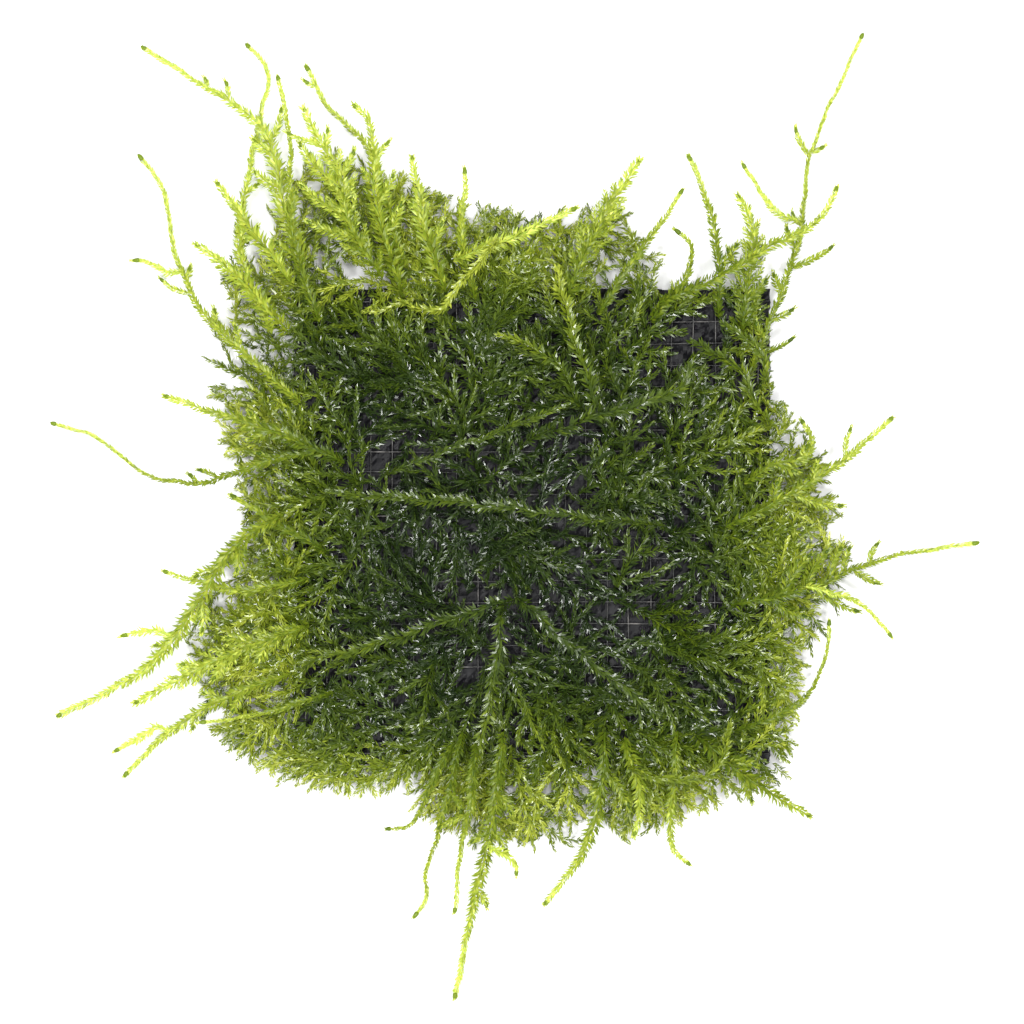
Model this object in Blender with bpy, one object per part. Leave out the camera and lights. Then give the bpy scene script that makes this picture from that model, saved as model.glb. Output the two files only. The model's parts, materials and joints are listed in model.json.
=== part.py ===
"""A clump of aquarium moss on a square mat.

A porous black mat lies flat. A fine net covers it, a carpet of small tangled shoots grows through
the net, and longer shoots lie over the carpet and trail over its edges down to the surface.
The origin is the centre of the mat's underside, +Z is up, and the mat's sides run along X and Y.
Dimensions are in millimetres; meshes are built in metres.
"""
import math
import random

import bmesh
import bpy
import numpy as np
from mathutils import Vector
from mathutils.bvhtree import BVHTree

MM = 0.001
GAP = 0.3                     # clearance that every piece keeps to its neighbours

# The mat: a square slab with a rough top and ragged edges.
MAT_SIDE = 80.0
MAT_THICKNESS = 4.0
MAT_CELLS = 12                # facets along one side
MAT_ROUGHNESS = 0.35

# The net: a thin sheet that stands for all of its threads.
NET_SIDE = 79.0
NET_THICKNESS = 0.5

# The carpet of small shoots: how far it reaches from the centre, every 15 degrees from +X.
CARPET_REACH = (51, 48, 44, 53, 46, 55, 50, 56, 72, 68, 62, 52,
                46, 59, 63, 58, 50, 52, 52, 54, 54, 58, 50, 52)
CARPET_ANGLES = 48
CARPET_RINGS = 11
CARPET_HEIGHT = 6.0           # mean thickness over the mat
CARPET_LUMPS = 1.6            # how much the lumps rise and fall
CARPET_RIM = 1.6              # thickness at the outer rim
CARPET_LEAST = 1.0            # thickness over the thin places
CARPET_DROOP = 0.32           # fall per millimetre past the mat's edge
CARPET_LOWEST = 0.4           # how near the rim comes to the surface below
CARPET_UNDERCUT = 0.6         # how far the underside stops short of the rim
CARPET_SEAT = 1.0             # how far the flat underside runs past the mat's edge
# Thin places where the mat shows through: x, y, radius.
THIN_PLACES = (
    (-25, 34, 5), (-9.5, 35, 6), (-20.5, 24, 4), (17.5, 25, 6), (32, 27, 9),
    (7.5, -8, 4), (18.5, -18, 7), (13, -27.5, 5), (-26, -27, 4), (32, -33, 5),
)

# The main shoots: flattened, tapered, and laid one over another.
SHOOT_SIDES = 6
RING_STEP = 4.0               # distance between cross-sections along a shoot
PROBE_STEP = 0.5              # distance between the places where the height below is read
SHOOT_FLATNESS = 0.55         # height of the cross-section against its width
SHOOT_THICKEST = 2.0          # the broad feathery shoots are no thicker than this
ROOT_TAPER = 0.6              # width at the root against the full width
TIP_TAPER = 0.4               # width of the last cross-section before the tip
STEEPEST = 0.55               # steepest fall along a shoot, rise over run
# Name, full width, how far the tip lifts, and the route seen from above, from root to tip.
SHOOTS = (
    ("upper_left_hook", 2.6, 0, ((-44, 34), (-48.5, 46), (-47.5, 58), (-45.3, 69.5), (-44, 76), (-48, 81))),
    ("upper_left_runner", 4.2, 0,
     ((-38.5, 46), (-40.5, 51), (-42, 56.5), (-43.2, 62.5), (-46.3, 68), (-55.3, 74), (-65.5, 80.5))),
    ("upper_left_spear", 2.4, 1, ((-36, 36), (-39.5, 48), (-40.3, 65), (-42.5, 75.5))),
    ("upper_left_crook", 2.8, 0, ((-22, 45), (-25, 57), (-28, 64.5), (-33.5, 69.5), (-38, 77.5))),
    ("upper_left_plume", 3.8, 1, ((-22, 40), (-25.8, 52.8), (-26.2, 60), (-27, 67.5), (-30, 70.5))),
    ("upper_left_feather", 5.0, 0, ((-26, 43), (-30.5, 50.5), (-31.8, 58.5), (-35.8, 65), (-38, 69.8))),
    ("upper_left_sprig", 3.6, 2, ((-41, 42), (-47, 50), (-52.5, 57.5))),
    ("upper_left_bud", 4.0, 1, ((-42, 34), (-49.5, 42), (-56, 47))),
    ("left_corner_runner", 2.2, 0,
     ((-40, 22), (-48.5, 29.5), (-55.3, 36.5), (-60, 47), (-61.5, 56), (-66, 62.5))),
    ("left_corner_twig", 1.8, 0, ((-60.8, 42.5), (-64, 44.2), (-67, 44.6))),
    ("left_runner", 1.6, 0,
     ((-36, 12.5), (-43.5, 11), (-49, 9), (-57, 7.3), (-65.3, 9.2), (-72.3, 14.7), (-80.7, 17.5))),
    ("left_upper_shoot", 2.8, 1, ((-33, 11.5), (-42, 15.5), (-52.8, 19), (-61.7, 22))),
    ("left_lower_shoot", 2.2, 1, ((-36, -3), (-43, 1), (-50.2, 5.5))),
    ("left_low_sprig", 2.2, 1, ((-39, -9), (-47, -10.5), (-54.5, -9.3), (-61.7, -7.3))),
    ("lower_left_runner", 3.4, 0,
     ((-43, 1), (-49.5, -3.5), (-55, -12), (-61.5, -21), (-69, -26.5), (-79.7, -31.8))),
    ("lower_left_arm", 4.4, 0, ((-39, -17), (-47.5, -20), (-56, -24), (-66.5, -29.5))),
    ("lower_left_twig", 2.0, 1, ((-62.3, -17.3), (-65, -17.3), (-68.5, -18.2))),
    ("lower_left_fork", 2.4, 0, ((-42, -25), (-50, -28), (-58, -32.5), (-63.7, -37), (-68.5, -42))),
    ("lower_left_fork_branch", 1.8, 0, ((-62.8, -33.2), (-66, -35.5), (-70, -37.6))),
    ("lower_left_stem", 1.5, 0, ((-35, -28), (-40.5, -29.7), (-47.8, -31.5), (-55.5, -32.5))),
    ("top_left_shoot", 3.8, 1, ((-15, 41), (-17.5, 48), (-18.7, 54.5), (-20, 62))),
    ("top_left_spike", 2.0, 2, ((-10, 40), (-12, 49.5), (-11, 54.5), (-11.3, 60))),
    ("top_middle_shoot", 2.8, 1, ((-11, 45), (-2, 48.5), (7.7, 53.3))),
    ("top_middle_plume", 5.0, 1, ((6, 39), (9.5, 47), (13.5, 54.5), (18.2, 61.5))),
    ("top_middle_spike", 1.8, 1, ((12, 37), (17, 44.5), (21.3, 50.3), (25.3, 56.5))),
    ("top_right_hook", 2.6, 1, ((21, 36), (25.5, 41.5), (26.7, 46), (23.5, 49.5))),
    ("top_right_feather", 2.2, 0, ((31, 37), (31, 44.5), (30.3, 50), (28.5, 57), (26, 62.5))),
    ("top_right_plume", 5.0, 1, ((35, 34), (36, 42), (36.7, 50), (34, 55.5))),
    ("upper_right_runner", 1.6, 0,
     ((37, 28), (39.7, 34.5), (43, 43), (45.2, 50.5), (46, 59.5), (48.3, 67), (52.2, 75.5), (55.5, 82.8))),
    ("upper_right_branch", 1.6, 0, ((43, 51.5), (39.7, 54), (35.2, 61))),
    ("upper_right_shoot", 2.6, 1, ((23, 38), (30.5, 41.2), (38.8, 46.2), (47.5, 50.8), (51, 57))),
    ("pale_upper_tip", 2.0, 2, ((-7, 46), (-11, 41.5), (-14, 37.3), (-17.5, 35.8), (-22.3, 37.8))),
    ("pale_centre_tip", 2.6, 2, ((8, 20), (4.5, 26.5), (0.5, 29.5), (-5.8, 31.8))),
    ("centre_upright", 3.2, 0, ((11, 19), (8, 28), (5.5, 36), (4, 43))),
    ("right_corner_shoot", 3.2, 1, ((38.5, 18), (34, 26.5), (26, 31))),
    ("right_corner_sprig", 2.6, 1, ((39, 24.5), (37, 30), (31.3, 33.8))),
    ("hooked_shoot", 3.2, 1, ((1, 15), (11.3, 18.5), (19, 20.5), (25, 23.5), (26.5, 27.5))),
    ("upper_cross_shoot", 1.8, 0, ((-22, 9.5), (-13.7, 12.8), (-4, 16.3), (6, 20.3))),
    ("long_cross_shoot", 2.6, 0, ((20, 0.5), (5, 2), (-10, 4), (-24, 5), (-34.5, 6))),
    ("hub_left_shoot", 3.0, 0, ((-5, -12.5), (-16, -16), (-28, -20), (-38.7, -22.5))),
    ("hub_lower_shoot", 3.2, 0, ((-5, -15), (-6.5, -26), (-9, -38.8))),
    ("hub_right_shoot", 3.0, 0, ((-1, -13), (8, -21), (21.3, -31.3))),
    ("right_upper_shoot", 2.4, 0, ((34, 1), (40, 4), (46, 7.5), (53, 12), (60.5, 18.5))),
    ("right_short_shoot", 2.2, 1, ((37, 8.5), (41.5, 11), (46, 11.6), (46.4, 14.5), (44.5, 18))),
    ("right_runner", 2.4, 0, ((35, -12.5), (44.7, -10.5), (53, -7.2), (61.3, -4.7), (75, -2.6))),
    ("right_lower_twig", 1.6, 0, ((45.5, -9.8), (52, -11.5), (57.3, -15.2), (60, -18.5))),
    ("right_hook", 1.8, 1, ((36, -33), (44, -29.5), (48.5, -23), (49.5, -15.3))),
    ("bottom_runner", 2.8, 0, ((-5, -36), (-6.2, -45.5), (-7.5, -53), (-10.3, -65.5), (-13, -79.3))),
    ("bottom_runner_branch", 1.8, 0, ((-7, -53), (-4.5, -54.4), (-2.8, -55.6), (-2.6, -58))),
    ("bottom_left_rope", 2.2, 0, ((-9.5, -38), (-10.4, -47), (-12.2, -55), (-12.4, -60), (-13, -64.5))),
    ("bottom_left_shoot", 2.0, 0,
     ((-12, -36), (-14.7, -47.8), (-17.6, -57.5), (-17.9, -62.8), (-19.9, -65.6))),
    ("bottom_left_sprig", 2.0, 0, ((-14, -37.5), (-17.4, -43.5), (-19.4, -49), (-24.5, -50.3))),
    ("bottom_right_shoot", 2.8, 0, ((12, -36), (11.5, -43), (9.6, -51.5), (6.8, -56.8), (1.9, -63.4))),
    ("bottom_right_sprig", 2.8, 0, ((16, -37), (18, -45.5), (16.8, -51.5))),
    ("bottom_right_hook", 2.2, 0, ((24, -36), (23.3, -45.5), (23, -52.5), (26.5, -56.5))),
    ("lower_right_shoot", 4.0, 0, ((29, -36), (36.3, -42), (46.5, -48.3))),
    ("lower_right_curl", 2.2, 2, ((18, -40.5), (26, -42), (31.5, -38.5), (32.6, -32))),
)

# The height map that shoots are laid on.
MAP_REACH = 92.0
MAP_CELL = 0.5
MAP_CEILING = 100.0

SEED = 7


def clear_scene():
    for item in list(bpy.data.objects):
        bpy.data.objects.remove(item, do_unlink=True)


def make_material(name, color, roughness):
    material = bpy.data.materials.new(name)
    material.use_nodes = True
    shader = material.node_tree.nodes["Principled BSDF"]
    shader.inputs["Base Color"].default_value = (*color, 1.0)
    shader.inputs["Roughness"].default_value = roughness
    shader.inputs["Metallic"].default_value = 0.0
    return material


def make_piece(name, points, faces, material):
    """Make a closed mesh object from points in millimetres, with its faces pointing out."""
    mesh = bpy.data.meshes.new(name)
    mesh.from_pydata([Vector(point) * MM for point in points], [], faces)
    work = bmesh.new()
    work.from_mesh(mesh)
    bmesh.ops.triangulate(work, faces=work.faces[:])
    bmesh.ops.recalc_face_normals(work, faces=work.faces[:])
    work.to_mesh(mesh)
    work.free()
    mesh.materials.append(material)
    piece = bpy.data.objects.new(name, mesh)
    bpy.context.scene.collection.objects.link(piece)
    return piece


def ring_faces(first, second, count):
    """Quads between two rings of points that start at the given indices."""
    faces = []
    for i in range(count):
        j = (i + 1) % count
        faces.append((first + i, first + j, second + j, second + i))
    return faces


# ---------------------------------------------------------------- mat and net

def mat_piece(material):
    """A slab with a flat underside, a rough top and slightly ragged sides."""
    rng = random.Random(SEED)
    points = []
    faces = []
    side = MAT_CELLS + 1
    step = MAT_SIDE / MAT_CELLS
    for row in range(side):
        for column in range(side):
            x = -MAT_SIDE / 2 + column * step
            y = -MAT_SIDE / 2 + row * step
            x -= math.copysign(rng.uniform(0, MAT_ROUGHNESS), x) if column in (0, MAT_CELLS) else 0
            y -= math.copysign(rng.uniform(0, MAT_ROUGHNESS), y) if row in (0, MAT_CELLS) else 0
            points.append((x, y, MAT_THICKNESS - rng.uniform(0, MAT_ROUGHNESS)))
    for row in range(MAT_CELLS):
        for column in range(MAT_CELLS):
            corner = row * side + column
            faces.append((corner, corner + 1, corner + side + 1, corner + side))
    rim = list(range(side))
    rim += [row * side + MAT_CELLS for row in range(1, side)]
    rim += [MAT_CELLS * side + column for column in range(MAT_CELLS - 1, -1, -1)]
    rim += [row * side for row in range(MAT_CELLS - 1, 0, -1)]
    floor = len(points)
    points += [(points[i][0], points[i][1], 0.0) for i in rim]
    for i, top in enumerate(rim):
        j = (i + 1) % len(rim)
        faces.append((top, rim[j], floor + j, floor + i))
    faces.append(tuple(floor + i for i in range(len(rim))))
    return make_piece("mat", points, faces, material)


def net_piece(material):
    """A thin square sheet just above the mat."""
    half = NET_SIDE / 2
    low = MAT_THICKNESS + GAP
    corners = ((-half, -half), (half, -half), (half, half), (-half, half))
    points = [(x, y, low) for x, y in corners] + [(x, y, low + NET_THICKNESS) for x, y in corners]
    faces = ring_faces(0, 4, 4) + [(0, 1, 2, 3), (4, 5, 6, 7)]
    return make_piece("net", points, faces, material)


# ---------------------------------------------------------------- carpet of small shoots

def carpet_reach(angle):
    """Smooth reach of the carpet in a direction, through the values given every 15 degrees."""
    place = (angle / (2 * math.pi) * len(CARPET_REACH)) % len(CARPET_REACH)
    before = int(place)
    blend = (1 - math.cos(math.pi * (place - before))) / 2
    after = (before + 1) % len(CARPET_REACH)
    return CARPET_REACH[before] * (1 - blend) + CARPET_REACH[after] * blend


def mat_edge(angle):
    """Distance from the centre to the mat's square edge in a direction."""
    return MAT_SIDE / 2 / max(abs(math.cos(angle)), abs(math.sin(angle)))


def carpet_thickness(x, y):
    """Lumpy thickness of the carpet, low over the thin places."""
    lumps = math.sin(x / 7.0 + 1.3) * math.cos(y / 6.0) + 0.7 * math.sin(x / 4.1 - y / 5.3)
    thickness = CARPET_HEIGHT + CARPET_LUMPS * lumps
    for thin_x, thin_y, radius in THIN_PLACES:
        distance = math.hypot(x - thin_x, y - thin_y) / radius
        hollow = math.exp(-distance ** 4)
        thickness += (CARPET_LEAST - thickness) * hollow
    return max(thickness, CARPET_LEAST)


def carpet_fall(distance, angle):
    """How far the carpet has drooped at a distance from the centre."""
    past_edge = max(0.0, distance - mat_edge(angle) - CARPET_SEAT)
    return min(CARPET_DROOP * past_edge, MAT_THICKNESS + NET_THICKNESS + 2 * GAP - CARPET_LOWEST)


def carpet_piece(material):
    """A low lumpy cushion, flat underneath over the net, that droops past the mat's edge."""
    low = MAT_THICKNESS + NET_THICKNESS + 2 * GAP
    angles = [2 * math.pi * i / CARPET_ANGLES for i in range(CARPET_ANGLES)]
    points = [(0, 0, low + carpet_thickness(0, 0))]
    faces = []
    for ring in range(1, CARPET_RINGS + 1):
        share = ring / CARPET_RINGS
        for angle in angles:
            reach = carpet_reach(angle)
            distance = reach * share
            x = distance * math.cos(angle)
            y = distance * math.sin(angle)
            fade = 1 - share ** 6
            thickness = CARPET_RIM + (carpet_thickness(x, y) - CARPET_RIM) * fade
            points.append((x, y, low - carpet_fall(distance, angle) + max(thickness, CARPET_LEAST)))
    faces += [(0, 1 + i, 1 + (i + 1) % CARPET_ANGLES) for i in range(CARPET_ANGLES)]
    for ring in range(CARPET_RINGS - 1):
        faces += ring_faces(1 + ring * CARPET_ANGLES, 1 + (ring + 1) * CARPET_ANGLES, CARPET_ANGLES)
    rim = 1 + (CARPET_RINGS - 1) * CARPET_ANGLES
    under_rim = len(points)
    for angle in angles:
        reach = carpet_reach(angle) - CARPET_UNDERCUT
        height = low - carpet_fall(reach, angle)
        points.append((reach * math.cos(angle), reach * math.sin(angle), height))
    under_edge = len(points)
    for angle in angles:
        distance = min(mat_edge(angle) + CARPET_SEAT, carpet_reach(angle) - CARPET_RIM)
        points.append((distance * math.cos(angle), distance * math.sin(angle), low))
    faces += ring_faces(rim, under_rim, CARPET_ANGLES)
    faces += ring_faces(under_rim, under_edge, CARPET_ANGLES)
    faces.append(tuple(under_edge + i for i in range(CARPET_ANGLES)))
    return make_piece("small_shoots", points, faces, material)


# ---------------------------------------------------------------- laying the main shoots

class HeightMap:
    """Height of everything laid so far, seen from above, in millimetres."""

    def __init__(self):
        self.count = int(2 * MAP_REACH / MAP_CELL) + 1
        self.heights = np.zeros((self.count, self.count))

    def cell(self, value):
        return int(round((value + MAP_REACH) / MAP_CELL))

    def add(self, piece):
        tree = BVHTree.FromPolygons(
            [vertex.co / MM for vertex in piece.data.vertices],
            [tuple(face.vertices) for face in piece.data.polygons],
        )
        spots = [vertex.co / MM for vertex in piece.data.vertices]
        columns = range(self.cell(min(p.x for p in spots)) - 1, self.cell(max(p.x for p in spots)) + 2)
        rows = range(self.cell(min(p.y for p in spots)) - 1, self.cell(max(p.y for p in spots)) + 2)
        for column in columns:
            for row in rows:
                start = Vector((column * MAP_CELL - MAP_REACH, row * MAP_CELL - MAP_REACH, MAP_CEILING))
                hit = tree.ray_cast(start, Vector((0, 0, -1)))[0]
                if hit:
                    self.heights[column, row] = max(self.heights[column, row], hit.z)

    def highest(self, x, y, reach):
        """Highest point within a reach of a place."""
        low_x, high_x = self.cell(x - reach) - 1, self.cell(x + reach) + 2
        low_y, high_y = self.cell(y - reach) - 1, self.cell(y + reach) + 2
        return float(self.heights[low_x:high_x, low_y:high_y].max())


def smooth_route(route, step):
    """Points at an even spacing along a smooth curve through the route's own points."""
    ends = [2 * Vector(route[0]) - Vector(route[1]), 2 * Vector(route[-1]) - Vector(route[-2])]
    knots = [ends[0], *[Vector(point) for point in route], ends[1]]
    fine = []
    for i in range(1, len(knots) - 2):
        before, start, end, after = knots[i - 1:i + 3]
        for k in range(20):
            t = k / 20
            fine.append(0.5 * (2 * start + (end - before) * t
                               + (2 * before - 5 * start + 4 * end - after) * t ** 2
                               + (3 * start - before - 3 * end + after) * t ** 3))
    fine.append(knots[-2])
    lengths = [0.0]
    for start, end in zip(fine, fine[1:]):
        lengths.append(lengths[-1] + (end - start).length)
    count = max(4, round(lengths[-1] / step))
    marks = np.linspace(0, lengths[-1], count + 1)
    xs = np.interp(marks, lengths, [point.x for point in fine])
    ys = np.interp(marks, lengths, [point.y for point in fine])
    return [Vector((x, y)) for x, y in zip(xs, ys)], lengths[-1]


def shoot_width(share, width):
    """Full width along a shoot: narrow at the root, even in the middle, narrow at the tip."""
    root = ROOT_TAPER + (1 - ROOT_TAPER) * min(1.0, share / 0.25)
    tip = TIP_TAPER + (1 - TIP_TAPER) * min(1.0, (1 - share) / 0.35)
    return width * min(root, tip)


def shoot_height(width):
    """Height of a shoot's cross-section of a given width."""
    return min(width * SHOOT_FLATNESS, SHOOT_THICKEST)


def resting_heights(route, width, height_map):
    """Height of the centre line that clears everything below, with gentle falls."""
    height = shoot_height(width)
    floor = []
    for point in route:
        top = height_map.highest(point.x, point.y, width / 2 + GAP)
        floor.append(top + height / 2 + GAP)
    for i in range(1, len(route)):
        floor[i] = max(floor[i], floor[i - 1] - STEEPEST * (route[i] - route[i - 1]).length)
    for i in range(len(route) - 2, -1, -1):
        floor[i] = max(floor[i], floor[i + 1] - STEEPEST * (route[i] - route[i + 1]).length)
    return floor


def shoot_piece(name, width, lift, route, material, height_map):
    """A flattened, tapered shoot with pointed ends, laid over all that is already there."""
    sections, length = smooth_route(route, RING_STEP)
    probes, _ = smooth_route(route, PROBE_STEP)
    needed = resting_heights(probes, width, height_map)
    marks = np.linspace(0, length, len(probes))
    section_marks = np.linspace(0, length, len(sections))
    spacing = length / (len(sections) - 1)
    heights = [max(h for m, h in zip(marks, needed) if abs(m - mark) <= spacing + 0.01)
               for mark in section_marks]
    centres = []
    for i, (spot, height) in enumerate(zip(sections, heights)):
        share = i / (len(sections) - 1)
        centres.append(Vector((spot.x, spot.y, height + lift * share ** 3)))
    points = [centres[0]]
    for i in range(1, len(centres) - 1):
        along = (centres[i + 1] - centres[i - 1]).normalized()
        across = along.cross(Vector((0, 0, 1))).normalized()
        up = across.cross(along)
        wide = shoot_width(i / (len(centres) - 1), width)
        for k in range(SHOOT_SIDES):
            turn = 2 * math.pi * k / SHOOT_SIDES
            points.append(centres[i] + across * wide / 2 * math.cos(turn)
                          + up * shoot_height(wide) / 2 * math.sin(turn))
    tip = len(points)
    points.append(centres[-1])
    faces = [(0, 1 + k, 1 + (k + 1) % SHOOT_SIDES) for k in range(SHOOT_SIDES)]
    last = tip - SHOOT_SIDES
    for ring in range(1, last, SHOOT_SIDES):
        faces += ring_faces(ring, ring + SHOOT_SIDES, SHOOT_SIDES)
    faces += [(last + (k + 1) % SHOOT_SIDES, last + k, tip) for k in range(SHOOT_SIDES)]
    return make_piece(name, points, faces, material)


def main():
    clear_scene()
    mat_black = make_material("mat_black", (0.016, 0.012, 0.018), 0.55)
    net_thread = make_material("net_thread", (0.34, 0.32, 0.29), 0.4)
    carpet_green = make_material("carpet_green", (0.035, 0.085, 0.012), 0.35)
    shoot_green = make_material("shoot_green", (0.22, 0.36, 0.02), 0.35)

    height_map = HeightMap()
    height_map.add(mat_piece(mat_black))
    height_map.add(net_piece(net_thread))
    height_map.add(carpet_piece(carpet_green))
    for name, width, lift, route in SHOOTS:
        height_map.add(shoot_piece(name, width, lift, route, shoot_green, height_map))


main()
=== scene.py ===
import json
import math

import bmesh
import bpy
import numpy as np
from mathutils import Matrix, Vector
from mathutils.bvhtree import BVHTree


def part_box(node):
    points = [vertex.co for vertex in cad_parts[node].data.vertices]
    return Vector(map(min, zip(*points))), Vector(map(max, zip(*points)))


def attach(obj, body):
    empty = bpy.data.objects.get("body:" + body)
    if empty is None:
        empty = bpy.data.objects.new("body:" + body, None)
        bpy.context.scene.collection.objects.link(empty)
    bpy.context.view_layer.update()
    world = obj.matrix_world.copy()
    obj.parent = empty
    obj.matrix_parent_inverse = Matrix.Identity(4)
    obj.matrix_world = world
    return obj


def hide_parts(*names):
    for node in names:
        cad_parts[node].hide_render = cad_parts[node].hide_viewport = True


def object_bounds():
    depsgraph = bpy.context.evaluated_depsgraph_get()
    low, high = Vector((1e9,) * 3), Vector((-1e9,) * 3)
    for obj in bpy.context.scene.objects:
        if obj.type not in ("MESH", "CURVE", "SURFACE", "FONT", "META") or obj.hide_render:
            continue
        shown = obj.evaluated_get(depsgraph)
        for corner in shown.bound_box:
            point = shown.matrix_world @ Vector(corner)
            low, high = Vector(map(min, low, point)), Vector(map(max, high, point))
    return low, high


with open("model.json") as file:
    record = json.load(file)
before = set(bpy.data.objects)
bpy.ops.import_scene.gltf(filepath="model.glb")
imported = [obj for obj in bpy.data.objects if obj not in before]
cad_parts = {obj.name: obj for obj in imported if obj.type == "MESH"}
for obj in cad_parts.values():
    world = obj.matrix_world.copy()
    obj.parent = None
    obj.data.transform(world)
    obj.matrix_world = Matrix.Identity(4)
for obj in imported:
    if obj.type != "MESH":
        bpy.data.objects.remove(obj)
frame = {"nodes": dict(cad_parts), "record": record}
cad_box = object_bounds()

# A clump of aquarium moss: a black porous mat, a net of pale thread, a carpet of small tangled
# shoots and the longer shoots that lie over it. Lengths are in metres; MM turns millimetres to them.
MM = 0.001
SEED = 20

MAT_LOW, MAT_HIGH = (Vector(corner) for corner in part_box("mat"))
NET_LOW, NET_HIGH = (Vector(corner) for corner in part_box("net"))
HUB = Vector((-3.7, -12.2)) * MM            # where most of the shoots over the mat spread from

# Leaves: how their size follows the half width of their shoot, and how closely they sit.
LEAF_SHORTEST = 0.46 * MM
LEAF_LONGEST = 2.4 * MM
LEAF_GAIN = 0.82                            # extra length for each unit of half width
LEAF_SLIM = 0.19 * MM
LEAF_WIDTH_GAIN = 0.15                      # extra width for each unit of length
LEAVES_PER_MM = 9.0
LEAF_ALL_ROUND = 2.3                        # furthest turn about the stem of an untidy shoot's leaves
LEAF_ROWS = (1.32, -1.32, 1.80, -1.80, 0.55, -0.55)   # turn about the stem, from straight up
STEM_RADIUS = 0.15 * MM
BUD_LENGTH = 1.5 * MM
BUD_DARKER = 0.21                           # how much older a swollen bud looks than its shoot
PRESSED = 0.35 * MM                         # what is lower than this is pressed flat
BROADEST_PLAIN = 2.15 * MM                  # a shoot with a half width above this bears side shoots
LEAST_SIDE_REACH = 1.1 * MM                 # and it bears none where it has become this narrow

# Colour lookup in the leaf map: leaves fill its lower part and stems its upper part.
MAP_NAME = "OFBake"
MAP_SPREAD = 0.006
LEAF_MAP_HEIGHT = 0.84
STEM_MAP_LOW, STEM_MAP_HIGH = 0.88, 0.98

rng = np.random.default_rng(SEED)


# ---------------------------------------------------------------- small helpers

def deselect():
    if bpy.context.object and bpy.context.object.mode != "OBJECT":
        bpy.ops.object.mode_set(mode="OBJECT")
    bpy.ops.object.select_all(action="DESELECT")


def settle(piece):
    """Puts the piece's place, turn and scale into its mesh."""
    deselect()
    piece.select_set(True)
    bpy.context.view_layer.objects.active = piece
    bpy.ops.object.transform_apply(location=True, rotation=True, scale=True)
    return piece


def copy_of(piece, name):
    """A copy with its own mesh."""
    twin = piece.copy()
    twin.data = piece.data.copy()
    twin.name = name
    bpy.context.scene.collection.objects.link(twin)
    return twin


def join(pieces, name):
    deselect()
    for piece in pieces:
        piece.select_set(True)
    bpy.context.view_layer.objects.active = pieces[0]
    bpy.ops.object.join()
    pieces[0].name = name
    return pieces[0]


def edit(piece):
    """Edit mode on one piece, with nothing selected in it."""
    deselect()
    piece.select_set(True)
    bpy.context.view_layer.objects.active = piece
    bpy.ops.object.mode_set(mode="EDIT")
    bpy.ops.mesh.select_all(action="DESELECT")
    return bmesh.from_edit_mesh(piece.data)


def finish_piece(piece, material, slot, *nodes):
    """Gives a piece its material, hangs it under the root body and hides the CAD nodes that it stands for.
    """
    piece.data.materials.clear()
    piece.data.materials.append(material)
    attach(piece, "root")
    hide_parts(*nodes)
    return piece


# ---------------------------------------------------------------- materials

def new_material(name):
    material = bpy.data.materials.new(name)
    material.use_nodes = True
    nodes = material.node_tree.nodes
    return material, nodes, material.node_tree.links, nodes["Principled BSDF"]


def set_ramp(ramp, stops):
    """Colour stops of a ramp, as place and colour."""
    elements = ramp.color_ramp.elements
    while len(elements) > 1:
        elements.remove(elements[-1])
    elements[0].position, elements[0].color = stops[0][0], (*stops[0][1], 1.0)
    for place, color in stops[1:]:
        element = elements.new(place)
        element.color = (*color, 1.0)


def moss_color_group():
    """Leaf colour from the leaf map: across it from old to fresh, a scale that also carries painted shade
    and painted backlight, up it from leaf base to tip.
    """
    group = bpy.data.node_groups.new("moss_color", "ShaderNodeTree")
    group.interface.new_socket("Map", in_out="INPUT", socket_type="NodeSocketVector")
    group.interface.new_socket("Base Tint", in_out="INPUT", socket_type="NodeSocketColor")
    group.interface.new_socket("Tip Tint", in_out="INPUT", socket_type="NodeSocketColor")
    group.interface.new_socket("Color", in_out="OUTPUT", socket_type="NodeSocketColor")
    nodes, links = group.nodes, group.links
    entry = nodes.new("NodeGroupInput")
    exit_node = nodes.new("NodeGroupOutput")
    split = nodes.new("ShaderNodeSeparateXYZ")
    links.new(entry.outputs["Map"], split.inputs[0])
    leaf = nodes.new("ShaderNodeValToRGB")
    set_ramp(leaf, (
        (0.00, (0.008, 0.017, 0.005)), (0.15, (0.018, 0.036, 0.006)), (0.30, (0.038, 0.066, 0.007)),
        (0.45, (0.085, 0.130, 0.008)), (0.60, (0.175, 0.232, 0.013)), (0.75, (0.365, 0.425, 0.037)),
        (0.90, (0.630, 0.690, 0.135)), (0.94, (0.220, 0.130, 0.030)), (1.00, (0.110, 0.060, 0.018)),
    ))
    links.new(split.outputs["X"], leaf.inputs["Fac"])
    along = nodes.new("ShaderNodeMapRange")
    along.interpolation_type = "SMOOTHSTEP"
    along.inputs["From Min"].default_value = 0.05
    along.inputs["From Max"].default_value = LEAF_MAP_HEIGHT
    links.new(split.outputs["Y"], along.inputs["Value"])
    tint = nodes.new("ShaderNodeMix")
    tint.data_type = "RGBA"
    links.new(along.outputs["Result"], tint.inputs["Factor"])
    links.new(entry.outputs["Base Tint"], tint.inputs["A"])
    links.new(entry.outputs["Tip Tint"], tint.inputs["B"])
    shade = nodes.new("ShaderNodeMix")
    shade.data_type = "RGBA"
    shade.blend_type = "MULTIPLY"
    shade.inputs["Factor"].default_value = 1.0
    links.new(leaf.outputs["Color"], shade.inputs["A"])
    links.new(tint.outputs["Result"], shade.inputs["B"])
    links.new(shade.outputs["Result"], exit_node.inputs["Color"])
    return group


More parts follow.
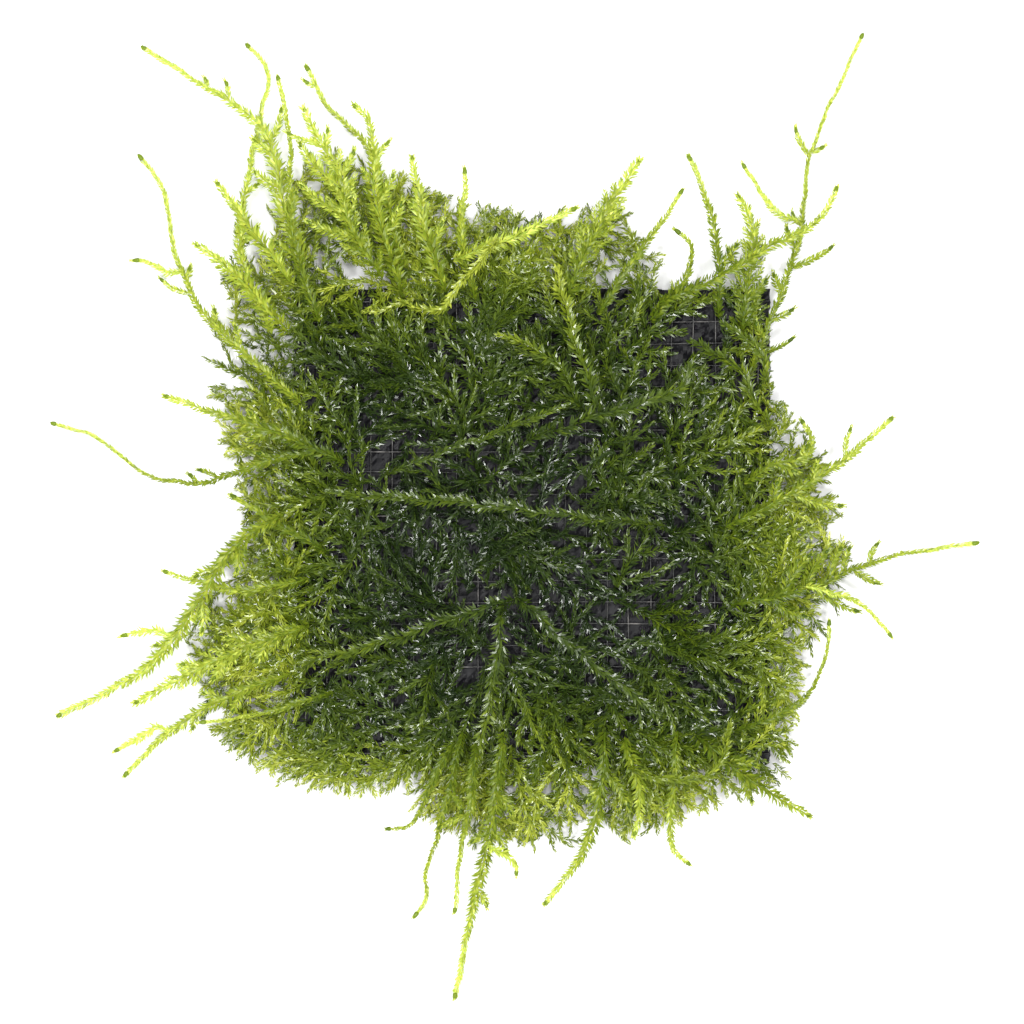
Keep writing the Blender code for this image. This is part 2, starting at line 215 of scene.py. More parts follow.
def moss_material(name, group, roughness, shine, translucency, base_tint, tip_tint):
    """Wet leaves: glossy above, and letting some light through."""
    material, nodes, links, shader = new_material(name)
    leaf_map = nodes.new("ShaderNodeUVMap")
    leaf_map.uv_map = MAP_NAME
    tint = nodes.new("ShaderNodeGroup")
    tint.node_tree = group
    tint.inputs["Base Tint"].default_value = (*base_tint, 1.0)
    tint.inputs["Tip Tint"].default_value = (*tip_tint, 1.0)
    links.new(leaf_map.outputs["UV"], tint.inputs["Map"])
    links.new(tint.outputs["Color"], shader.inputs["Base Color"])
    shader.inputs["Roughness"].default_value = roughness
    shader.inputs["IOR"].default_value = 1.45
    shader.inputs["Specular IOR Level"].default_value = shine
    through = nodes.new("ShaderNodeBsdfTranslucent")
    links.new(tint.outputs["Color"], through.inputs["Color"])
    mix = nodes.new("ShaderNodeMixShader")
    mix.inputs["Fac"].default_value = translucency
    links.new(shader.outputs["BSDF"], mix.inputs[1])
    links.new(through.outputs["BSDF"], mix.inputs[2])
    links.new(mix.outputs["Shader"], nodes["Material Output"].inputs["Surface"])
    return material


def mat_material():
    """Wet black foam, knitted in rows of tiny loops whose raised tops are lighter grey-purple: loop colour
    and painted sheen.
    """
    material, nodes, links, shader = new_material("wet_black_mat")
    place = nodes.new("ShaderNodeTexCoord")
    loops = nodes.new("ShaderNodeTexVoronoi")
    loops.feature = "F1"
    stretch = nodes.new("ShaderNodeMapping")
    stretch.inputs["Scale"].default_value = (1400, 1000, 1000)
    links.new(place.outputs["Object"], stretch.inputs["Vector"])
    links.new(stretch.outputs["Vector"], loops.inputs["Vector"])
    loops.inputs["Scale"].default_value = 1.0
    loops.inputs["Randomness"].default_value = 0.35
    patches = nodes.new("ShaderNodeTexNoise")
    patches.inputs["Scale"].default_value = 260
    patches.inputs["Detail"].default_value = 3
    links.new(place.outputs["Object"], patches.inputs["Vector"])
    spots = nodes.new("ShaderNodeValToRGB")
    set_ramp(spots, ((0.0, (1, 1, 1)), (0.28, (0.5, 0.5, 0.5)), (0.45, (0, 0, 0))))
    links.new(loops.outputs["Distance"], spots.inputs["Fac"])
    some = nodes.new("ShaderNodeMath")
    some.operation = "MULTIPLY"
    links.new(spots.outputs["Color"], some.inputs[0])
    links.new(patches.outputs["Fac"], some.inputs[1])
    # The raised loop tops are lighter: grey-purple loop colour and painted sheen on the wet loops.
    tint = nodes.new("ShaderNodeMix")
    tint.data_type = "RGBA"
    tint.inputs["A"].default_value = (0.003, 0.003, 0.004, 1)
    tint.inputs["B"].default_value = (0.040, 0.034, 0.044, 1)
    links.new(some.outputs["Value"], tint.inputs["Factor"])
    links.new(tint.outputs["Result"], shader.inputs["Base Color"])
    wet = nodes.new("ShaderNodeMapRange")
    wet.inputs["To Min"].default_value = 0.18
    wet.inputs["To Max"].default_value = 0.55
    shader.inputs["Specular IOR Level"].default_value = 0.10
    links.new(patches.outputs["Fac"], wet.inputs["Value"])
    links.new(wet.outputs["Result"], shader.inputs["Roughness"])
    relief = nodes.new("ShaderNodeBump")
    relief.inputs["Strength"].default_value = 0.9
    relief.inputs["Distance"].default_value = 0.0003
    links.new(some.outputs["Value"], relief.inputs["Height"])
    links.new(relief.outputs["Normal"], shader.inputs["Normal"])
    return material


def thread_material():
    """Pale grey-brown thread with a slight shine and old stains."""
    material, nodes, links, shader = new_material("net_thread")
    place = nodes.new("ShaderNodeTexCoord")
    stains = nodes.new("ShaderNodeTexNoise")
    stains.inputs["Scale"].default_value = 300
    stains.inputs["Detail"].default_value = 2
    links.new(place.outputs["Object"], stains.inputs["Vector"])
    tint = nodes.new("ShaderNodeValToRGB")
    set_ramp(tint, (
        (0.50, (0.004, 0.004, 0.003)), (0.60, (0.022, 0.020, 0.018)), (0.76, (0.16, 0.15, 0.14)),
    ))
    links.new(stains.outputs["Fac"], tint.inputs["Fac"])
    links.new(tint.outputs["Color"], shader.inputs["Base Color"])
    shader.inputs["Roughness"].default_value = 0.32
    return material


# ---------------------------------------------------------------- mat and net

MAT_GRID = 110
MAT_SIDE_STEPS = 6


def lumps(x, y, size):
    """Smooth repeatable unevenness between -1 and 1, with lumps of about a size."""
    return (np.sin(x / size + 1.7 * np.sin(y / size * 0.8 + 0.4))
            * np.cos(y / size * 1.1 + 1.3 * np.sin(x / size * 0.7)))


def make_mat(material):
    """A square of porous foam: a pitted top, ragged sides and a flat underside."""
    deselect()
    side = MAT_HIGH.x - MAT_LOW.x
    top = MAT_HIGH.z - 0.25 * MM
    bpy.ops.mesh.primitive_grid_add(
        x_subdivisions=MAT_GRID, y_subdivisions=MAT_GRID, size=side - 0.8 * MM, location=(0, 0, top))
    mat = settle(bpy.context.active_object)
    mat.name = "porous_mat"
    mesh = edit(mat)
    for edge in mesh.edges:
        edge.select_set(edge.is_boundary)
    bmesh.update_edit_mesh(mat.data)
    for _ in range(MAT_SIDE_STEPS):
        bpy.ops.mesh.extrude_region_move(
            TRANSFORM_OT_translate={"value": (0, 0, -(top - MAT_LOW.z) / MAT_SIDE_STEPS)})
    bpy.ops.mesh.edge_face_add()
    bpy.ops.mesh.select_all(action="SELECT")
    bpy.ops.mesh.normals_make_consistent(inside=False)
    bpy.ops.object.mode_set(mode="OBJECT")
    points = np.empty(len(mat.data.vertices) * 3)
    mat.data.vertices.foreach_get("co", points)
    points = points.reshape(-1, 3)
    x, y, z = points.T / MM
    pits = 0.07 * lumps(x, y, 0.55) + 0.05 * lumps(y, x, 1.3) + 0.10 * rng.uniform(-1, 1, len(x))
    on_top = z > top / MM - 0.01
    points[:, 2] += np.where(on_top, np.minimum(pits, 0.24), 0) * MM
    half = (side / 2 - 0.4 * MM) / MM
    ragged = 0.28 * lumps(x + y, z * 3 + x, 0.6) + 0.1 * rng.uniform(-1, 1, len(x))
    above_floor = np.where(z > 0.3, 1.0, 0.3)
    for axis, value in ((0, x), (1, y)):
        on_side = np.abs(value) > half - 0.01
        points[:, axis] += np.where(on_side, np.sign(value) * ragged * above_floor, 0) * MM
    mat.data.vertices.foreach_set("co", points.ravel())
    mat.data.update()
    return finish_piece(mat, material, "mat", "mat")


NET_THREADS = 22
NET_THREAD_RADIUS = 0.11 * MM
NET_WAVE = 0.07 * MM
NET_SWAY = 0.25 * MM          # how far a thread strays sideways
NET_SWAY_LENGTH = 9           # millimetres of thread for each radian of its sway


def make_thread():
    """One straight thread along X, cut into short lengths so that make_net can weave it up and down once
    every two meshes of the net.
    """
    deselect()
    length = NET_HIGH.x - NET_LOW.x
    bpy.ops.mesh.primitive_cylinder_add(
        vertices=5, radius=NET_THREAD_RADIUS, depth=length, rotation=(0, math.pi / 2, 0))
    thread = settle(bpy.context.active_object)
    mesh = edit(thread)
    for edge in mesh.edges:
        start, end = (vertex.co.x for vertex in edge.verts)
        edge.select_set(abs(start - end) > length / 2)
    bmesh.update_edit_mesh(thread.data)
    bpy.ops.mesh.subdivide(number_cuts=2 * NET_THREADS)
    bpy.ops.object.mode_set(mode="OBJECT")
    return thread


def make_net(material):
    """Two sets of crossing threads, each slightly uneven."""
    pattern = make_thread()
    pitch = (NET_HIGH.x - NET_LOW.x) / NET_THREADS
    middle = (NET_LOW.z + NET_HIGH.z) / 2
    threads = []
    for along_y in (False, True):
        for i in range(NET_THREADS):
            thread = copy_of(pattern, "thread")
            offset = NET_LOW.x + (i + 0.5) * pitch
            phase = math.pi * (i + along_y)
            sway = rng.uniform(-1, 1, 2) * NET_SWAY
            for vertex in thread.data.vertices:
                vertex.co.z += NET_WAVE * math.cos(math.pi * vertex.co.x / pitch + phase)
                vertex.co.y += offset + sway[0] * math.sin(
                    vertex.co.x / NET_SWAY_LENGTH / MM + sway[1] / MM * 12)
            if along_y:
                thread.data.transform(Matrix.Rotation(math.pi / 2, 4, "Z"))
            thread.data.transform(Matrix.Translation((0, 0, middle)))
            threads.append(thread)
    bpy.data.objects.remove(pattern)
    net = join(threads, "net_threads")
    for face in net.data.polygons:
        face.use_smooth = True
    return finish_piece(net, material, "net", "net")


# ---------------------------------------------------------------- the leaf, modelled once

class Shape:
    """Points and triangles of a small form that is repeated many times."""

    def __init__(self, piece):
        edit(piece)
        bpy.ops.mesh.select_all(action="SELECT")
        bpy.ops.mesh.quads_convert_to_tris()
        bpy.ops.object.mode_set(mode="OBJECT")
        self.points = np.array([vertex.co[:] for vertex in piece.data.vertices])
        self.triangles = np.array([face.vertices[:] for face in piece.data.polygons])
        bpy.data.objects.remove(piece)


def model_leaf(waists):
    """A pointed, keeled blade one unit long on +X and one unit wide, folded along its middle.

    waists gives extra cross-sections past the widest one, as place and swell.
    """
    deselect()
    widest = 0.36
    bpy.ops.mesh.primitive_cone_add(
        vertices=3, radius1=0.5774, radius2=0, depth=1 - widest,
        location=((1 + widest) / 2, 0, 0), rotation=(0, math.pi / 2, 0))
    leaf = settle(bpy.context.active_object)
    mesh = edit(leaf)
    ring = [vertex for vertex in mesh.verts if vertex.co.x < widest + 0.01]
    keel = max(ring, key=lambda vertex: abs(vertex.co.z))
    keel.select_set(True)
    lift = -keel.co.z
    bmesh.update_edit_mesh(leaf.data)
    bpy.ops.transform.translate(value=(-widest, 0, lift))
    for place, swell in waists:
        bpy.ops.mesh.select_all(action="SELECT")
        bpy.ops.mesh.bisect(plane_co=(place, 0, 0), plane_no=(1, 0, 0))
        mesh = bmesh.from_edit_mesh(leaf.data)
        bpy.ops.mesh.select_all(action="DESELECT")
        for vertex in mesh.verts:
            vertex.select_set(abs(vertex.co.x - place) < 0.001)
        mesh.select_flush(True)
        bmesh.update_edit_mesh(leaf.data)
        bpy.ops.transform.resize(value=(1, swell, swell), center_override=(place, 0, 0))
    bpy.ops.mesh.select_all(action="SELECT")
    side = 1.0 if lift > 0 else -1.0
    bpy.ops.transform.resize(value=(1, 1, 0.40), center_override=(0, 0, 0))
    bpy.ops.mesh.normals_make_consistent(inside=False)
    bpy.ops.object.mode_set(mode="OBJECT")
    shape = Shape(leaf)
    shape.points[:, 2] *= side
    if side < 0:
        shape.triangles = shape.triangles[:, ::-1]
    return shape


# ---------------------------------------------------------------- growing leafy shoots

def unit(vectors):
    return vectors / np.maximum(np.linalg.norm(vectors, axis=-1, keepdims=True), 1e-12)


def above_surface(points):
    """Presses what would sink into the surface below into a thin layer just above it."""
    low = points[:, 2] < PRESSED
    points[low, 2] = PRESSED * np.exp(points[low, 2] / PRESSED - 1)
    return points


class Growth:
    """Everything that grows into one mesh: leaves, placed many at once, and stems.

    Stems are shaded round, and leaves flat, so that a wet leaf glints as a whole facet.
    """

    def __init__(self, leaf):
        self.leaf = leaf
        self.leaves = []
        self.points = []
        self.triangles = []
        self.rounded = []
        self.maps = []
        self.count = 0

    def add_leaves(self, base, along, normal, length, width, curl, freshness):
        """Rows of arrays, one row per leaf."""
        along = unit(along)
        normal = unit(normal - along * np.sum(along * normal, axis=1, keepdims=True))
        across = np.cross(normal, along)
        x, y, z = self.leaf.points.T
        bent = curl[:, None, :] * (x ** 2)[None, :, None] * length[:, None, None]
        points = (base[:, None, :]
                  + along[:, None, :] * (x[None, :] * length[:, None])[..., None]
                  + across[:, None, :] * (y[None, :] * width[:, None])[..., None]
                  + normal[:, None, :] * (z[None, :] * width[:, None])[..., None] + bent)
        per = len(self.leaf.points)
        starts = self.count + per * np.arange(len(base))
        triangles = (self.leaf.triangles[None, :, :] + starts[:, None, None]).reshape(-1, 3)
        u = freshness[:, None] + MAP_SPREAD * 2 * y[None, :]
        v = np.broadcast_to(0.01 + (LEAF_MAP_HEIGHT - 0.02) * x[None, :], u.shape)
        self.points.append(points.reshape(-1, 3))
        self.triangles.append(triangles)
        self.rounded.append(np.zeros(len(triangles), dtype=bool))
        self.maps.append(np.stack((u, v), axis=-1).reshape(-1, 2))
        self.count += per * len(base)

    def add_stem(self, route, radii, freshness, sides):
        """A tapered tube along a route, closed to a point at both ends."""
        tangent = unit(np.gradient(route, axis=0))
        across = unit(np.cross(tangent, (0, 0, 1)) + 1e-9)
        up = np.cross(across, tangent)
        turns = 2 * np.pi * np.arange(sides) / sides
        ring = (across[:, None, :] * np.cos(turns)[None, :, None]
                + up[:, None, :] * np.sin(turns)[None, :, None])
        points = route[1:-1, None, :] + ring[1:-1] * radii[1:-1, None, None]
        rows = len(route) - 2
        points = np.concatenate((route[:1], points.reshape(-1, 3), route[-1:]))
        faces = []
        for k in range(sides):
            j = (k + 1) % sides
            faces.append((0, 1 + k, 1 + j))
            for row in range(rows - 1):
                a, b = 1 + row * sides + k, 1 + row * sides + j
                faces.append((a, a + sides, b + sides))
                faces.append((a, b + sides, b))
            last = 1 + (rows - 1) * sides
            faces.append((last + j, last + k, len(points) - 1))
        v = np.linspace(STEM_MAP_LOW, STEM_MAP_HIGH, sides)
        v = np.concatenate(([v[0]], np.tile(v, rows), [v[-1]]))
        u = np.interp(np.linspace(0, 1, len(points)), (0, 1), freshness)
        self.points.append(points)
        self.triangles.append(np.array(faces) + self.count)
        self.rounded.append(np.ones(len(faces), dtype=bool))
        self.maps.append(np.stack((u, v), axis=-1))
        self.count += len(points)

    def make(self, name):
        """One mesh object of all that has grown."""
        points = above_surface(np.concatenate(self.points)).astype(np.float32)
        triangles = np.concatenate(self.triangles).astype(np.int32)
        maps = np.clip(np.concatenate(self.maps), 0.002, 0.998).astype(np.float32)
        mesh = bpy.data.meshes.new(name)
        mesh.vertices.add(len(points))
        mesh.vertices.foreach_set("co", points.ravel())
        mesh.loops.add(triangles.size)
        mesh.loops.foreach_set("vertex_index", triangles.ravel())
        mesh.polygons.add(len(triangles))
        mesh.polygons.foreach_set("loop_start", np.arange(0, triangles.size, 3, dtype=np.int32))
        mesh.update(calc_edges=True)
        mesh.uv_layers.new(name=MAP_NAME).data.foreach_set("uv", maps[triangles.ravel()].ravel())
        mesh.polygons.foreach_set("use_smooth", np.concatenate(self.rounded))
        mesh.validate()
        piece = bpy.data.objects.new(name, mesh)
        bpy.context.scene.collection.objects.link(piece)
        return piece


def even_route(route, step):
    """A route resampled at an even step, with the distance along it."""
    lengths = np.concatenate(([0], np.cumsum(np.linalg.norm(np.diff(route, axis=0), axis=1))))
    count = max(4, int(round(lengths[-1] / step)))
    marks = np.linspace(0, lengths[-1], count + 1)
    points = np.stack([np.interp(marks, lengths, route[:, axis]) for axis in range(3)], axis=1)
    return points, marks


def wavy(route, amount):
    """Adds slight sideways kinks along a route, none at its ends."""
    total = np.linalg.norm(np.diff(route, axis=0), axis=1).sum() / MM
    share = np.linspace(0, 1, len(route))
    tangent = unit(np.gradient(route, axis=0))
    side = unit(np.cross(tangent, (0, 0, 1)))
    phase = rng.uniform(0, 2 * math.pi, 2)
    wave = np.sin(share * total / 1.5 + phase[0]) * 0.6 + np.sin(share * total / 0.7 + phase[1]) * 0.25
    return route + side * (wave * amount * np.sin(math.pi * share) ** 0.5)[:, None]


def grow_shoot(growth, route, reach, fresh_root, fresh_tip, tilt=0.0, density=1.0, stem_sides=3,
               stem_step=1.4 * MM, stem_radius=STEM_RADIUS, bud=0.0, untidy=0.0, slim=1.0):
    """Stem, leaves and closed tip of one shoot.

    route runs from root to tip; reach is how far leaves stand out from the stem along it; freshness
    runs from old to new growth; bud is the radius of a swollen tip. untidy runs from flat rows of
    leaves (0) to leaves all round the stem (1); slim narrows the leaves.
    """
    # freshness carries the age of the growth, and also painted shade over the mat and painted backlight in
    # the fringe
    points, marks = even_route(route, 0.25 * MM)
    total = marks[-1]
    tangent = unit(np.gradient(points, axis=0))
    up = np.array((math.sin(tilt) * 0.7, math.sin(tilt * 1.7) * 0.7, 1.0))
    side = unit(np.cross(tangent, up))
    up = np.cross(side, tangent)
    reach = np.interp(marks, np.linspace(0, total, len(reach)), reach)

    count = max(8, int(total / MM * LEAVES_PER_MM * density))
    at = np.linspace(0.01, 0.985, count) * total + rng.uniform(-0.05, 0.05, count) * MM
    at = np.clip(at, 0, total)
    index = np.clip(np.searchsorted(marks, at), 0, len(marks) - 1)
    rows = np.resize(np.array(LEAF_ROWS), count) + rng.normal(0, 0.15, count)
    roll = rows * (1 - untidy) + rng.uniform(-LEAF_ALL_ROUND, LEAF_ALL_ROUND, count) * untidy
    closing = np.clip((total - at) / (2.4 * MM), 0, 1) ** 0.7
    wide = np.interp(at, marks, reach) * (0.30 + 0.70 * closing)
    full = np.minimum(LEAF_SHORTEST + LEAF_GAIN * wide, LEAF_LONGEST)
    spread = np.arcsin(np.clip(wide / full, 0.15, 0.94)) * rng.normal(1, 0.09 + 0.16 * untidy, count)
    spread = np.where(np.abs(roll) < 1.0, spread * 0.62, spread)
    length = full * rng.normal(1, 0.09, count)
    outward = unit(side[index] * np.sin(roll)[:, None] + up[index] * np.cos(roll)[:, None] * 0.6)
    along = tangent[index] * np.cos(spread)[:, None] + outward * np.sin(spread)[:, None]
    normal = up[index] + outward * 0.4 - tangent[index] * 0.3 + rng.normal(0, 0.35, (count, 3))
    curl = (tangent[index] * rng.normal(0.10, 0.10, count)[:, None]
            - up[index] * rng.normal(0.10, 0.08, count)[:, None])
    fresh = fresh_root + (fresh_tip - fresh_root) * (at / total) ** 1.2
    fresh = np.clip(fresh + rng.normal(0, 0.06, count), 0.01, 0.90)
    growth.add_leaves(
        points[index] + outward * stem_radius * 0.6, along, normal, length,
        (LEAF_SLIM + LEAF_WIDTH_GAIN * length) * slim * rng.normal(1, 0.1, count), curl, fresh)

    stem, stem_marks = even_route(points, stem_step)
    radii = stem_radius * np.interp(stem_marks / total, (0, 0.6, 1), (1.0, 0.9, 0.5))
    growth.add_stem(stem, radii, (min(fresh_root + 0.04, 0.9), min(fresh_tip + 0.04, 0.9)), stem_sides)
    if bud:
        last = points[marks > total - BUD_LENGTH]
        swelling = bud * np.sin(np.linspace(0.25, 1, len(last)) * math.pi) ** 0.6
        fresh_bud = float(np.clip(fresh_tip - BUD_DARKER, 0.05, 0.9))
        growth.add_stem(last, np.maximum(swelling, 0.05 * MM), (fresh_bud, fresh_bud), 6)


def side_route(points, share, hand, length, angle, z_least):
    """Route of a side shoot: it leaves a route on the left (+1) or right (-1) and bends forward."""
    steps = 6
    i = int(np.clip(share * (len(points) - 1), 1, len(points) - 2))
    ahead = unit(points[i + 1] - points[i - 1])
    left = unit(np.cross((0, 0, 1), ahead)) * hand
    turn = np.linspace(angle, angle * 0.5, steps)[:, None]
    strides = (ahead * np.cos(turn) + left * np.sin(turn)) * length / steps
    route = np.concatenate((points[i][None, :], points[i] + np.cumsum(strides, axis=0)))
    route[:, 2] = np.maximum(route[:, 2], z_least)
    return route


def grow_side_shoots(growth, points, reach, fresh_root, fresh_tip, spacing, half_width):
    """Side shoots on alternate sides of a shoot, that fill it out to its reach."""
    points, marks = even_route(points, 0.5 * MM)
    total = marks[-1]
    hand = 1
    at = spacing
    while at < total - 1.0 * MM:
        share = at / total
        wide = np.interp(share, np.linspace(0, 1, len(reach)), reach) * rng.uniform(0.75, 1.05)
        if wide < LEAST_SIDE_REACH:
            break
        angle = rng.uniform(0.75, 1.0)
        length = max(wide / math.sin(angle * 0.8), 1.6 * MM)
        route = side_route(points, share, hand, length, angle, 0.5 * MM)
        route[:, 2] += np.linspace(0, rng.uniform(-0.5, 0.3), len(route)) * MM
        fresh = fresh_root + (fresh_tip - fresh_root) * share
        grow_shoot(growth, route, half_width * np.array((0.8, 1.0, 0.9, 0.6)),
                   fresh, min(fresh + 0.06, 0.9), tilt=rng.normal(0, 0.3), density=0.9)
        at += spacing * rng.uniform(0.75, 1.25)
        hand = -hand


# ---------------------------------------------------------------- main shoots, along the CAD solids

SOLID_SIDES = 6
TRAILING, OVER_MAT = "moss_trailing", "moss_over_mat"


def layers_from(start):
    """Layers of vertices, each one edge further from the start."""
    layers = [[start]]
    seen = {start}
    while layers[-1]:
        following = []
        for vertex in layers[-1]:
            for edge in vertex.link_edges:
                other = edge.other_vert(vertex)
                if other not in seen:
                    seen.add(other)
                    following.append(other)
        layers.append(following)
    return layers[:-1]


def solid_route(node):
    """Centre line and half width of a shoot's solid, from root to tip."""
    work = bmesh.new()
    work.from_mesh(frame["nodes"][node].data)
    bmesh.ops.remove_doubles(work, verts=work.verts, dist=1e-7)
    for start in work.verts:
        layers = layers_from(start)
        if len(layers[-1]) == 1 and all(len(layer) == SOLID_SIDES for layer in layers[1:-1]):
            break
    else:
        raise ValueError(f"{node} has no clear rings")
    centres = [sum((vertex.co for vertex in layer), Vector()) / len(layer) for layer in layers]
    halves = [max((vertex.co - centre).length for vertex in layer)
              for layer, centre in zip(layers, centres)]
    work.free()
    if halves[1] < halves[-2]:
        centres.reverse()
        halves.reverse()
    halves[0] = halves[1] * 0.7
    halves[-1] = halves[-2] * 0.5
    return np.array([centre[:] for centre in centres]), np.array(halves)


def smooth_route(route):
    """A smooth curve through a route's points."""
    ends = np.vstack((2 * route[0] - route[1], route, 2 * route[-1] - route[-2]))
    fine = []
    t = np.linspace(0, 1, 12, endpoint=False)[:, None]
    for i in range(1, len(ends) - 2):
        a, b, c, d = ends[i - 1], ends[i], ends[i + 1], ends[i + 2]
        fine.append(0.5 * (2 * b + (c - a) * t + (2 * a - 5 * b + 4 * c - d) * t ** 2
                           + (3 * b - a - 3 * c + d) * t ** 3))
    fine.append(route[-1:])
    return np.concatenate(fine)


def past_mat(x, y):
    """How far a place lies outside the mat's square, negative over the mat, in millimetres."""
    half = MAT_HIGH.x
    return (np.maximum(np.abs(x), np.abs(y)) - half) / MM


def zone_age_and_painted_light(x, y):
    """Old and dark over the mat, fresher towards its edge, freshest in the trailing fringe; the same steps
    also paint shade over the black mat and backlight from the white floor in the fringe.
    """
    return np.interp(past_mat(x, y), (-30, -12, -4, 2, 8, 16, 30),
                     (0.24, 0.30, 0.42, 0.56, 0.70, 0.80, 0.85))


# The shoot that a branch or twig grows from.
PARENTS = {
    "left_corner_twig": "left_corner_runner",
    "lower_left_twig": "lower_left_runner", "lower_left_fork_branch": "lower_left_fork",
    "upper_right_branch": "upper_right_runner", "bottom_runner_branch": "bottom_runner",
    "right_lower_twig": "right_runner",
}
# Small twigs on a shoot: place along it, left (+1) or right (-1) of it, length and width in millimetres.
TWIGS = {
    "upper_left_hook": ((0.25, 1, 6.0, 1.2), (0.34, -1, 4.5, 1.4), (0.44, 1, 2.5, 1.0),
                        (0.50, -1, 3.0, 1.0)),
    "upper_left_runner": ((0.20, -1, 5.0, 2.0), (0.30, 1, 6.0, 2.2), (0.42, 1, 4.5, 2.2),
                          (0.46, -1, 6.5, 1.2),
                          (0.66, -1, 3.6, 0.9), (0.74, -1, 2.2, 0.9)),
    "upper_left_spear": ((0.30, 1, 5.0, 2.0),),
    "upper_left_feather": ((0.30, 1, 9.0, 2.0), (0.42, 1, 9.5, 2.2), (0.55, 1, 11.0, 3.0),
                           (0.62, -1, 5.0, 1.6),
                           (0.78, -1, 3.6, 1.4), (0.80, 1, 6.5, 1.0)),
    "upper_left_plume": ((0.35, -1, 7.0, 2.2), (0.50, -1, 6.0, 2.0), (0.60, 1, 3.0, 1.6),
                         (0.72, -1, 4.0, 1.2)),
    "upper_left_crook": ((0.90, 1, 2.6, 0.8),),
    "left_corner_runner": ((0.30, -1, 4.0, 1.4), (0.40, -1, 3.2, 1.2), (0.52, 1, 7.0, 0.9),
                           (0.58, -1, 2.6, 1.2)),
    "left_runner": ((0.22, -1, 3.0, 1.0), (0.40, -1, 4.4, 0.9), (0.47, -1, 2.6, 0.8)),
    "left_upper_shoot": ((0.45, 1, 4.0, 1.6), (0.50, -1, 3.5, 1.4)),
    "top_left_shoot": ((0.40, -1, 5.0, 1.8), (0.62, 1, 3.0, 1.2)),
    "top_middle_plume": ((0.40, 1, 5.0, 1.8), (0.60, -1, 4.0, 1.6)),
    "top_right_feather": ((0.35, -1, 5.0, 2.2),),
    "top_right_plume": ((0.30, -1, 5.0, 2.0), (0.45, 1, 6.0, 1.2)),
    "upper_right_runner": ((0.08, -1, 7.0, 1.0), (0.12, 1, 3.5, 1.6), (0.18, -1, 4.5, 1.4),
                           (0.26, 1, 4.0, 1.6),
                           (0.33, -1, 9.0, 1.2), (0.38, 1, 5.0, 1.4), (0.45, 1, 3.0, 0.9),
                           (0.64, 1, 5.6, 1.0), (0.65, -1, 2.8, 1.0)),
    "right_upper_shoot": ((0.30, 1, 4.0, 2.0), (0.40, -1, 9.0, 1.8), (0.52, 1, 3.0, 1.8),
                          (0.70, 1, 6.0, 1.0)),
    "right_short_shoot": ((0.40, -1, 4.0, 2.0), (0.60, 1, 3.0, 1.8)),
    "right_runner": ((0.20, -1, 7.0, 2.4), (0.24, 1, 9.0, 2.6), (0.32, 1, 8.0, 2.2), (0.36, -1, 9.0, 1.6),
                     (0.42, 1, 6.5, 1.6), (0.48, 1, 5.0, 1.4), (0.52, -1, 6.0, 1.6), (0.58, 1, 4.5, 1.0)),
    "lower_left_runner": ((0.20, 1, 5.0, 2.4), (0.30, -1, 4.5, 2.0), (0.40, 1, 6.0, 2.2),
                          (0.58, -1, 3.0, 1.4)),
    "lower_left_arm": ((0.25, 1, 5.0, 2.4), (0.35, -1, 5.0, 2.4), (0.50, 1, 4.5, 2.0),
                       (0.62, -1, 4.0, 1.8)),
    "lower_left_fork": ((0.30, 1, 4.5, 2.0), (0.40, -1, 4.0, 2.0), (0.55, 1, 3.0, 1.6)),
    "bottom_runner": ((0.25, 1, 5.0, 2.0), (0.38, 1, 5.5, 1.6), (0.40, -1, 4.0, 1.8), (0.60, 1, 4.2, 1.6)),
    "bottom_left_shoot": ((0.35, 1, 4.5, 1.0),),
    "bottom_left_rope": ((0.45, -1, 6.5, 1.2),),
    "bottom_right_shoot": ((0.25, 1, 8.0, 1.8), (0.35, -1, 3.0, 1.8)),
    "lower_right_shoot": ((0.35, 1, 5.0, 2.2), (0.50, -1, 4.5, 2.0)),
}
# Reach of the leaves along a shoot: a feathery lower part and a rope-like outer part.
FEATHERY = ((0.0, 0.20, 0.50, 0.68, 0.80, 1.0), (0.75, 1.0, 0.95, 0.66, 0.42, 0.36))
THREADLIKE = ((0.0, 0.20, 0.40, 0.55, 0.70, 1.0), (0.80, 1.0, 0.75, 0.45, 0.34, 0.30))
THREADS = ("upper_left_hook", "upper_left_runner", "upper_left_spear", "upper_left_crook",
           "left_corner_runner", "left_corner_twig", "left_runner", "upper_right_runner",
           "upper_right_branch", "right_runner", "right_lower_twig", "right_hook", "bottom_left_shoot",
           "bottom_left_rope", "bottom_left_sprig", "top_right_hook", "lower_left_stem")
# How much fresher the tips of some shoots over the mat look than what is round them.
FRESHER_TIPS = {
    "hooked_shoot": 0.10, "pale_upper_tip": 0.14, "pale_centre_tip": 0.22, "lower_right_curl": 0.20,
    "centre_upright": 0.14, "upper_cross_shoot": 0.14, "hub_lower_shoot": 0.06,
}
ROPE_REACH = 0.26 * MM         # least reach of the leaves, on the bare outer ends
THREAD_END = 0.36 * MM         # reach at the outer end of a thread-like shoot, however wide its root
# Shoots over the mat: even and untidy, with thin stems and no buds.
EVEN = ((0.0, 0.2, 0.8, 1.0), (0.8, 1.0, 0.9, 0.5))
OVER_MAT_UNTIDY = 0.65
OVER_MAT_STEM = 0.12 * MM
OVER_MAT_WAVE = 0.45 * MM
OVER_MAT_FRESHER = 0.02
# Trailing shoots: stem and bud radius in millimetres by the shoot's width in millimetres.
TRAILING_STEMS = ((1.6, 2.4, 4.0), (0.15, 0.21, 0.24))
TRAILING_BUDS = ((1.6, 2.8, 5.0), (0.38, 0.42, 0.36))
TRAILING_UNTIDY = 0.25
TRAILING_WAVE = 0.22 * MM
